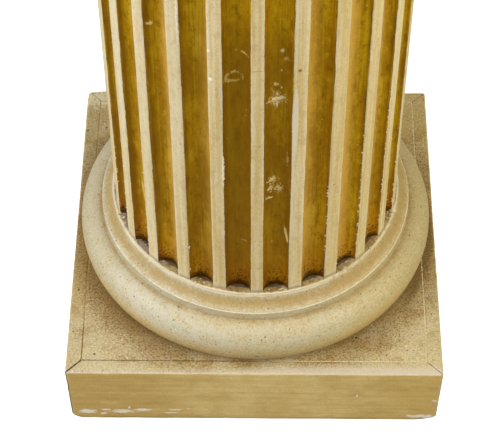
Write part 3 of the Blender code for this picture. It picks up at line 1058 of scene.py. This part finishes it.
def makeShaftPaint():
    material, place = newPaint("flutedShaftPaint")
    look, foot = shaftLook, shaftFoot
    x, y, z = place.parts()
    angle = x.join("ARCTAN2", x, y * -1.0)
    drawn = useGroup(grainGroup, place, strokeSize=(0.0021, 0.0021, 0.075))
    fineDrawn = useGroup(grainGroup, place, strokeSize=(0.0010, 0.0010, 0.018))["Fine"]
    patches = noise(place / (0.026, 0.026, 0.085), 1.0, 4.0, 0.6)
    mottle = noise(place / (0.006, 0.006, 0.013), 1.0, 4.0, 0.65)
    filmBreaks = noise(place / (0.005, 0.005, 0.04), 1.0, 4.0, 0.6)
    rosy = noise(place / (0.004, 0.004, 0.06), 1.0, 3.0, 0.5)
    flecks = useGroup(fleckGroup, place, fleckSize=0.0024)
    # The flutes at the front are painted darker than those beside them, most strongly below about half a
    # metre: painted shade for the dim room that their gloss reflects
    fromFront = abs(angle + 0.10) + (patches - 0.5) * 0.5
    frontFluteShade = fromFront.step(0.52, 0.08) * z.step(0.51, 0.59, 0.66, 0.10)
    # Each flute is painted lighter and less metallic on the wall that faces away from the front, towards a
    # side lamp, and darker on the other: painted light and painted shade
    sideward = abs(x) * x.step(0.0, 0.04, 0.46, 0.66)
    wall = (sideward - pointValue(place, "across") * x) / 0.15 + (patches - 0.5) * 0.4
    rubbedAndLit = wall.step(0.10, 0.55, 0, 0.85)
    footLevel = z + (mottle - 0.5) * 0.034
    # The edge value runs from below zero in a flute to above zero on a strip
    edge = pointValue(place, "paintEdge")
    level = edge + (noise(place, 0.0032, 4.0, 0.7) - 0.5) * 0.0014
    cream = level.step(-0.00018, 0.00018)
    film = (level + (filmBreaks - 0.50) * 0.014).step(-0.0003, 0.0012)
    gold = blend(patches.step(0.38, 0.62), look["goldDeep"], look["goldWarm"])
    gold = layTones(gold, look, [
        (drawn["Broad"].step(0.48, 0.74, 0, 0.6), "goldLight"),
        (drawn["Fine"].step(0.48, 0.72, 0, 0.6), "goldBrown"),
        (mottle.step(0.52, 0.68, 0, 0.65), "goldBrown"),
        (mottle.step(0.46, 0.32, 0, 0.4), "goldLight"),
        (fineDrawn.step(0.56, 0.8, 0, 0.35), "goldLight"),
        (frontFluteShade, "goldOlive"),
        # painted light on the wall towards a side lamp, then painted shade on the other wall
        (rubbedAndLit, "goldRubbed"),
        (wall.step(0.05, -0.25, 0, 0.75), "goldBrown"),
        (flecks["Dark"] * 0.22, "goldBrown"),
        ((z + mottle * 0.03).step(foot + 0.085, foot + 0.02) * 0.4, "goldRust"),
        (dots(place, 0.0050, 0.14, 0.16) * 0.75, "dirt"),
        (dots(place, 0.0090, 0.16, 0.10) * 0.8, "film"),
        # painted shade in the corner where each flute meets the ledge, then dirt specks above it
        (footLevel.step(foot + 0.012, foot + 0.006) * 0.65, "footDirt"),
        (footLevel.step(foot + 0.040, foot + 0.010) * flecks["Dark"], "footDirt"),
        (film * 0.5, "haze"),
        (level.step(-0.0022, -0.0006) * filmBreaks.step(0.62, 0.46) * 0.6, "dirt"),
    ])
    number = (angle - (shaft["firstStripTurn"] - pitch / 2)) / pitch
    number = number.join("FLOORED_MODULO", number.join("FLOOR", number), float(shaft["fluteCount"]))
    ownTone = addNode(place.tree, "TexWhiteNoise", {"W": number}, "Value", noise_dimensions="1D")
    # Strips to the left of the front are whiter: partly the paint, partly painted light of the cool left
    # lamp
    leftward = (angle + patches * 0.5).step(0.0, -0.35)
    strip = blend(drawn["Broad"].step(0.35, 0.7), look["stripPale"], look["stripWarm"])
    strip = layTones(strip, look, [
        (ownTone * 0.35, "stripWarm"),
        (leftward * z.step(0.22, 0.42, 0.25, 0.60), "stripWhite"),
        (fineDrawn.step(0.5, 0.78, 0, 0.45), "stripLine"),
        (mottle.step(0.5, 0.68, 0, 0.42), "stripLine"),
        (rosy.step(0.54, 0.70, 0, 0.4), "rosy"),
        (flecks["Dark"] * 0.2, "stripLine"),
        (flecks["Pale"] * 0.22, "bare"),
        (dots(place, 0.0040, 0.18, 0.20) * 0.35, "speck"),
        (dots(place, 0.0090, 0.14, 0.11) * 0.8, "speck"),
        ((z + mottle * 0.012).step(foot + 0.018, foot + 0.008) * 0.35, "bare"),
        # paler along each arris: partly worn paint, partly a painted highlight on the edge
        ((edge + (filmBreaks - 0.42) * 0.012).step(0.0026, 0.0008) * 0.4, "bare"),
    ])
    color = blend(cream, gold, strip)
    # Marks are placed on the unrolled shaft
    flat = makeVector(angle * markRadius, 0.0, z)
    marks = 0.0
    for degreesRound, height, halfWidth, halfHeight, turn, ragged, tone, strength in shaftMarks.values():
        centre = (radians(degreesRound) * markRadius, 0.0, height)
        mark = useGroup(markGroup, flat, centre=centre, halfSize=(halfWidth, 0.01, halfHeight),
                        turn=radians(turn), ragged=ragged, grainSize=markGrain)
        share = mark["Mask"] * strength
        color = blend(share, color, look[tone])
        marks = share.larger(marks)
    ringAngle, ringHeight, halfWidth, halfHeight = driedRing
    centre = (radians(ringAngle) * markRadius, 0.0, ringHeight)
    ring = useGroup(markGroup, flat, centre=centre, halfSize=(halfWidth, 0.01, halfHeight),
                    ragged=0.35, grainSize=(0.0030, 0.0030, 0.0030))
    color = blend(ring["Rim"] * mottle.step(0.60, 0.42, 0.1, 1.0), color, look["ring"])
    bareGold = (1.0 - cream) * (1.0 - marks)
    matte, satin = fineDrawn.step(0.3, 0.7, 0.48, 0.64), mottle.step(0.3, 0.75, 0.32, 0.52)
    rough = addNode(place.tree, "Mix", {0: bareGold, 2: matte, 3: satin})
    shine = {"Metallic": bareGold * (1.0 - rubbedAndLit) * 0.6, "Specular IOR Level": 0.12}
    return finishPaint(material, color, rough, [
        (drawn["Fine"] + cream * 0.6, 0.0003, 0.55),
        (fineDrawn + marks, 0.0002, 0.5),
    ], **shine)


def makeShaft():
    low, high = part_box("fluted_shaft")
    length, close = high.z - low.z, shaft["closeHeight"]
    heights = np.concatenate([
        np.linspace(0, close, int(close / shaft["closeRings"]) + 1),
        np.linspace(close, length, int((length - close) / shaft["wideRings"]) + 1)[1:],
    ])
    section = shaftSection()
    rows, columns = len(heights), len(section)
    share = shaftShare(heights / length)
    points = np.zeros((rows * columns, 3))
    points[:, 0] = np.outer(share, section[:, 0]).ravel()
    points[:, 1] = np.outer(share, section[:, 1]).ravel()
    points[:, 2] = low.z + np.repeat(heights, columns)
    past, number, side, across = np.tile(section[:, 2:], (rows, 1)).T
    outward = points * np.array([1.0, 1.0, 0.0])
    outward /= np.linalg.norm(outward, axis=1)[:, None]
    drawn = points / np.array([1.0, 1.0, 4.0])
    swell = waves(drawn, *shaft["drawnWaves"]) - shaft["drawnWaves"][0][0]
    nicks = knocks(points, 0.012, 0.08, 63, (0.45, 0.9, 0.0, 0.7))
    rubbedAndLit = shaft["rubDepth"] * (1 + softNoise(points, 0.02, 65))
    swell -= (np.abs(past) < 0.0003) * (shaft["nickDepth"] * nicks + rubbedAndLit)
    points += outward * swell[:, None]
    points[:columns, 2] -= shaft["footSink"]
    ragged = np.ones_like(past)
    for strip, (left, right) in raggedEdges.items():
        mine = number == strip % shaft["fluteCount"]
        ragged[mine & (side < 0)] = left
        ragged[mine & (side > 0)] = right
    ownShift = np.stack([number * 0.37, side * 0.21, np.zeros_like(past)], axis=1)
    wander = waves(drawn + ownShift, shaft["edgeWander"]) + waves(points + ownShift, shaft["edgeRipple"])
    addPiece("fluted_shaft", points, tubeFaces(rows, columns), makeShaftPaint(), "gilt_paint", {
        "paintEdge": wander * ragged + shaft["raggedSpread"] * (ragged - 1) - past,
        "across": across,
    })


makeShaft()
print("Shaft made")


# Dust, crumbs and flakes on the ledge round the shaft's foot, and beads of paint on the strips' edges

ledgeDirt = {
    "heapHeight": 0.0022,
    "heapSteps": 7,
    "heapReach": 0.1530,
    "heapLevel": 0.55,
    "heapWave": (0.45, 0.02, 71),  # share of the height, size and seed
    "roughDepth": 0.00028,
    "roughSize": 0.0034,
    "creamCrumbs": (90, 0.0007, 0.0017, 21),  # count, smallest and largest size, seed
    "brownCrumbs": (110, 0.0006, 0.0016, 22),
    "crumbReach": 0.1518,
    "crumbSide": 0.062,  # how far from a flute's middle, as an angle
    "crumbSquash": (0.45, 0.8),
    "crumbLift": 0.0008,
    "flakeSeed": 5,
    "flakeCorners": 10,
    "flakeThick": 0.00035,
    "flakeLift": 0.0011,
    "flakeCurl": 0.10,
}
paintBeads = {
    "seed": 35,
    "size": (0.0009, 0.0021),
    "stretch": (0.8, 1.9),
    "pastArris": (-0.0004, 0.0011),
    "depth": (0.0006, 0.0014),
}
ledgeLook = paintTones(
    dustPale=(180, 160, 112), dustTan=(158, 130, 78), dustBrown=(120, 94, 54), dustLilac=(158, 146, 138),
    shade=(58, 42, 20), creamPale=(236, 224, 192), creamDull=(204, 184, 136), crumbBrown=(84, 64, 36),
)
paintLumps = {  # angle from the front, distance from the axis, size across, height
    "leftFiller": (-71.0, 0.1535, 0.0062, 0.0034),
    "leftFillerBack": (-68.4, 0.1505, 0.0040, 0.0026),
    "leftCrumb": (-65.6, 0.1520, 0.0026, 0.0016),
    "middleLeft": (-23.6, 0.1535, 0.0034, 0.0016),
    "middleLeftBack": (-20.4, 0.1500, 0.0028, 0.0018),
    "middleLeftSmall": (-18.2, 0.1512, 0.0020, 0.0016),
    "rightFiller": (73.4, 0.1530, 0.0086, 0.0052),
    "rightFillerLow": (71.0, 0.1538, 0.0052, 0.0030),
    "rightSmall": (56.4, 0.1535, 0.0034, 0.0022),
    "rightFoot": (52.4, 0.1545, 0.0040, 0.0018),
}
paintFlakes = {  # angle from the front, distance from the axis, length, width, turn
    "front": (10.6, 0.1512, 0.0078, 0.0022, 12),
    "frontSmall": (12.0, 0.1530, 0.0042, 0.0018, -18),
    "left": (-55.6, 0.1530, 0.0052, 0.0009, 48),
    "leftWide": (-30.8, 0.1528, 0.0030, 0.0018, 30),
    "right": (38.0, 0.1525, 0.0036, 0.0020, -24),
}
edgeBeads = [  # strip, side, lowest and highest place, count
    (2, -1, 0.215, 0.330, 26), (3, -1, 0.200, 0.400, 34), (4, -1, 0.190, 0.420, 34),
    (4, 1, 0.185, 0.330, 16), (5, -1, 0.185, 0.300, 14), (-3, -1, 0.185, 0.340, 20),
    (-4, -1, 0.185, 0.330, 16), (-2, 1, 0.180, 0.230, 7), (-5, 1, 0.185, 0.300, 12), (2, 1, 0.180, 0.230, 6),
]
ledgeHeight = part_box("base_moulding")[1].z


def makeDustMaterial():
    material, place = newPaint("ledgeDust")
    x, y, z = place.parts()
    clumps = noise(place, 0.0040, 4.0, 0.65)
    clouds = noise(place, 0.02, 3.0, 0.6)
    color = blend(clouds.step(0.38, 0.62), ledgeLook["dustTan"], ledgeLook["dustPale"])
    color = layTones(color, ledgeLook, [
        ((x + (clouds - 0.5) * 0.05).step(-0.085, -0.110, 0, 0.75), "dustLilac"),
        (clumps.step(0.46, 0.64, 0, 0.75), "dustBrown"),
        (makeVector(x, y, 0.0).length().step(0.1485, 0.1465, 0, 0.75), "shade"),
        (dots(place, 0.0030, 0.16, 0.22) * 0.6, "creamPale"),
        (dots(place, 0.0034, 0.18, 0.22) * 0.8, "shade"),
    ])
    return finishPaint(material, color, clumps.step(0.2, 0.8, 0.8, 1.0), [(clumps, 0.0005, 0.6)])


def makeCrumbMaterial(name, pale, dull):
    material, place = newPaint(name)
    grain = noise(place, 0.0014, 4.0, 0.7)
    color = blend(grain.step(0.38, 0.66), ledgeLook[pale], ledgeLook[dull])
    return finishPaint(material, color, grain.step(0.3, 0.7, 0.55, 0.8), [(grain, 0.0003, 0.6)])


def sheetBlock(top, rows, columns, bottom):  # closes a sheet of points with a flat underside
    below = top.copy()
    below[:, 2] = bottom
    count = rows * columns
    faces = gridFaces(rows, columns)
    faces += [[index + count for index in reversed(face)] for face in faces]
    rim = list(range(columns))
    rim += [row * columns + columns - 1 for row in range(1, rows)]
    rim += [(rows - 1) * columns + column for column in range(columns - 2, -1, -1)]
    rim += [row * columns for row in range(rows - 2, 0, -1)]
    for here, following in zip(rim, rim[1:] + rim[:1]):
        faces.append([here, following, following + count, here + count])
    return np.concatenate([top, below]), faces


def makeLedgeDust():
    section = shaftSection()
    columns, rows = shaft["fluteSteps"] + 1, ledgeDirt["heapSteps"]
    perPitch = len(section) // shaft["fluteCount"]
    share = np.linspace(0, 1, rows)[:, None, None]
    heaps = []
    for index in range(shaft["fluteCount"]):
        first = index * perPitch + 5  # the flute's first arris, after the strip's other points
        wall = section[[(first + step) % len(section) for step in range(columns)], :2] * 0.998
        around = np.arctan2(wall[:, 1], wall[:, 0])
        reach = ledgeDirt["heapReach"] + 0.0005 * np.sin(np.arange(columns) * 1.3 + index)
        front = np.stack([reach * np.cos(around), reach * np.sin(around)], axis=1)
        flat = (wall * (1 - share) + front * share).reshape(-1, 2)
        top = np.column_stack([flat, np.zeros(len(flat))])
        depth = np.repeat(share.ravel(), columns)
        heap = (1 - depth) ** 1.4 * (ledgeDirt["heapLevel"] + waves(top, ledgeDirt["heapWave"]))
        rough = ledgeDirt["roughDepth"] * (1 + softNoise(top, ledgeDirt["roughSize"], 72)) * (1 - depth ** 3)
        top[:, 2] = ledgeHeight + 0.00012 + ledgeDirt["heapHeight"] * heap + rough
        heaps.append(sheetBlock(top, rows, columns, ledgeHeight - 0.0003))
    addPiece("ledge_dust", *joinParts(heaps), makeDustMaterial(), "ochre_paint", replaces=False)


def lumpShape(random, subdivisions):  # a small uneven stone, about one unit across
    bm = bmesh.new()
    bmesh.ops.create_icosphere(bm, subdivisions=subdivisions, radius=0.5)
    points = np.array([vert.co for vert in bm.verts])
    faces = [[vert.index for vert in face.verts] for face in bm.faces]
    bm.free()
    points *= 1 + 0.3 * softNoise(points, 0.45, int(random.integers(1, 9999)))[:, None]
    return points, faces


def fluteSpot(random):  # a random place on the ledge, inside a flute
    index = random.integers(0, shaft["fluteCount"])
    fromMiddle = random.uniform(-ledgeDirt["crumbSide"], ledgeDirt["crumbSide"])
    turn = -pi / 2 + shaft["firstStripTurn"] + (index + 0.5) * pitch + fromMiddle
    nearest = 0.1455 + 0.0075 * (fromMiddle / pitch * 2) ** 2
    return turn, random.uniform(nearest, ledgeDirt["crumbReach"])


def makeCrumbs(name, kind, material, lumps):
    count, smallest, largest, seed = ledgeDirt[kind]
    random = np.random.default_rng(seed)
    spots = [(*fluteSpot(random), random.uniform(smallest, largest), None) for _ in range(count)]
    for degreesRound, distance, across, height in lumps:
        spots.append((radians(degreesRound) - pi / 2, distance, across, height))
    parts = []
    for turn, distance, across, height in spots:
        loose = height is None
        points, faces = lumpShape(random, 1 if loose else 3)
        squash = random.uniform(*ledgeDirt["crumbSquash"]) if loose else height / across
        points = points * np.array([across, across * random.uniform(0.6, 1.0), across * squash])
        points = turnFlat(points, random.uniform(0, 2 * pi) if loose else turn)
        lift = ledgeHeight + across * squash * 0.32 + (ledgeDirt["crumbLift"] if loose else 0.0)
        parts.append((points + ringPlace(distance, turn, lift), faces))
    addPiece(name, *joinParts(parts), material, "cream_paint", replaces=False)


def makeEdgeBeads(material):  # cream paint that dried in beads along the strips' edges
    random = np.random.default_rng(paintBeads["seed"])
    angles = arrisAngles()
    radius = shaft["footRadius"]
    parts = []
    for strip, side, lowest, highest, count in edgeBeads:
        turn = angles[strip % shaft["fluteCount"]][0 if side < 0 else 1]
        for _ in range(count):
            points, faces = lumpShape(random, 1)
            across = random.uniform(*paintBeads["size"])
            points = points * np.array([across, across, across * random.uniform(*paintBeads["stretch"])])
            height = random.uniform(lowest, highest)
            spot = turn + side * random.uniform(*paintBeads["pastArris"]) / radius
            distance = radius - random.uniform(*paintBeads["depth"])
            parts.append((points + ringPlace(distance, spot, height), faces))
    addPiece("strip_edge_blobs", *joinParts(parts), material, "cream_paint", replaces=False)


def makeFlakes(material):
    random = np.random.default_rng(ledgeDirt["flakeSeed"])
    corners = ledgeDirt["flakeCorners"]
    around = 2 * pi * np.arange(corners) / corners
    faces = tubeFaces(2, corners)
    parts = []
    for degreesRound, distance, length, width, turn in paintFlakes.values():
        outline = np.stack([length / 2 * np.cos(around), width / 2 * np.sin(around)], axis=1)
        outline *= random.uniform(0.75, 1.1, corners)[:, None]
        spot = radians(degreesRound) - pi / 2
        curl = ledgeDirt["flakeCurl"] * length * (outline[:, 0] / length * 2) ** 2
        sheet = turnFlat(np.column_stack([outline, curl]), spot + pi / 2 + radians(turn))
        sheet += ringPlace(distance, spot, ledgeHeight + ledgeDirt["flakeLift"])
        parts.append((np.concatenate([sheet, sheet + np.array([0, 0, ledgeDirt["flakeThick"]])]), faces))
    addPiece("ledge_flakes", *joinParts(parts), material, "cream_paint", replaces=False)


creamCrumb = makeCrumbMaterial("creamCrumb", "creamPale", "creamDull")
brownCrumb = makeCrumbMaterial("brownCrumb", "dustBrown", "crumbBrown")
makeLedgeDust()
makeCrumbs("ledge_crumbs_cream", "creamCrumbs", creamCrumb, paintLumps.values())
makeCrumbs("ledge_crumbs_brown", "brownCrumbs", brownCrumb, [])
makeEdgeBeads(creamCrumb)
makeFlakes(creamCrumb)
print("Ledge dust, crumbs, flakes and beads laid")


# Capital and slab, past the photo's top edge: in keeping, and plainer

capital = {
    "around": 384,
    "neckRingHeight": 0.014,
    "neckRingProjection": 0.009,
    "filletHeight": 0.005,
    "filletProjection": 0.004,
    "neckHeight": 0.040,
    "neckSetBack": 0.004,
    "thinRings": 3,
    "thinRing": 0.003,
    "cushionHeight": 0.033,
    "cushionProjection": 0.036,
    "edgeRound": 0.0006,
    "topRound": 0.0012,
    "capRadius": 0.09,
    "nickDepth": 0.0008,
    "wobble": 0.00014,
}
slab = {"step": 0.006, "rounding": 0.0026, "edgeWave": (0.0005, 0.03, 93), "knockDepth": 0.0022}


def makeCapital():
    size = capital
    low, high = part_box("capital_moulding")
    foot, top, outer = low.z, high.z, high.x
    neck = shaft["topRadius"] - size["neckSetBack"]
    fillet = shaft["topRadius"] + size["filletProjection"]
    filletTop = foot + size["filletHeight"]
    ringEdge = shaft["topRadius"] + size["neckRingProjection"]
    ringHalf = size["neckRingHeight"] / 2
    ringMiddle = filletTop + ringHalf
    neckFoot = ringMiddle + ringHalf
    neckTop = neckFoot + size["neckHeight"]
    thin, ease, topRound = size["thinRing"], size["edgeRound"], size["topRound"]
    runs = [
        linePoints((size["capRadius"], foot), (fillet - ease, foot), 4),
        linePoints((fillet, foot + ease), (fillet, filletTop), 4),
        arcPoints((ringEdge - ringHalf, ringMiddle), (ringHalf, ringHalf), -90, 90, 18),
        linePoints((neck, neckFoot), (neck, neckTop), 12),
    ]
    edges = [(fillet, foot), (fillet, filletTop)]
    recesses = [(neck, neckFoot), (neck, neckTop), (fillet, filletTop)]
    radius, height = neck, neckTop
    for _ in range(size["thinRings"]):
        recesses.append((radius, height))
        runs.append(linePoints((radius, height), (radius + thin - ease, height), 3))
        radius += thin
        runs.append(arcPoints((radius - ease, height + ease), (ease, ease), -90, 0, 4))
        runs.append(linePoints((radius, height + ease), (radius, height + thin), 3))
        edges.append((radius, height))
        height += thin
    cushion = (size["cushionProjection"], -size["cushionHeight"])
    runs.append(arcPoints((radius, height + size["cushionHeight"]), cushion, 90, 0, 26)[:-1])
    runs.append(arcPoints((outer - topRound, top - topRound), (topRound, topRound), 0, 90, 5))
    runs.append(linePoints((outer - topRound, top), (size["capRadius"], top), 10))
    edges.append((outer, top))
    profile = joinRuns(runs)
    # The recess value puts grime and painted shade into the corners at the neck, the fillet and under the
    # thin rings
    edge, recess = nearness(profile, edges, 0.0012), nearness(profile, recesses, 0.006)
    makeTurned("capital_moulding", profile, size, edge, recess, 81, "capitalPaint")


def makeSlabPaint():
    material, place = newPaint("abacusPaint")
    clouds = noise(place, 0.07, 4.0, 0.55)
    grain = useGroup(grainGroup, place, strokeSize=(0.03, 0.03, 0.002))["Fine"]
    upward = surfaceUp(place).step(0.6, 0.9)
    dust = useGroup(grimeAndShadeGroup, place, recess=upward * 0.8, cloudSize=0.03)["Mask"]
    color = blend(clouds.step(0.35, 0.68), creamPaint["pale"], creamPaint["warm"])
    color = blend(grain.step(0.5, 0.8, 0, 0.45), color, creamPaint["line"])
    color = blend(dust * 0.6, color, plinthPaint["topTan"])
    color = layTones(color, creamPaint, [
        (dots(place, 0.0030, 0.26, 0.24) * 0.5, "freckle"),
        (dots(place, 0.0075, 0.12, 0.14) * 0.8, "pit"),
        (edgeBreakup(place, "edge", 0.01, 0.6) * 0.9, "bare"),
    ])
    return finishPaint(material, color, grain.step(0.3, 0.8, 0.45, 0.7), [(grain, 0.0003, 0.5)])


def makeSlab():
    fine = [0.0, 0.0006, 0.0013, 0.0020, 0.0028]
    points, faces, centre, size = blockGrid("abacus", slab["step"], fine)
    rounding = slab["rounding"] + waves(points, slab["edgeWave"])
    rounding += slab["knockDepth"] * knocks(points, 0.01, 0.07, 91)
    shaped = roundBlock(points, centre, size, rounding)
    fromEdge = np.sort(size - np.abs(points - centre), axis=1)[:, 1]
    values = {"edge": np.exp(-(fromEdge / 0.0024) ** 2)}
    addPiece("abacus", shaped, faces, makeSlabPaint(), "cream_paint", values)


makeCapital()
makeSlab()
print("Capital and slab made")
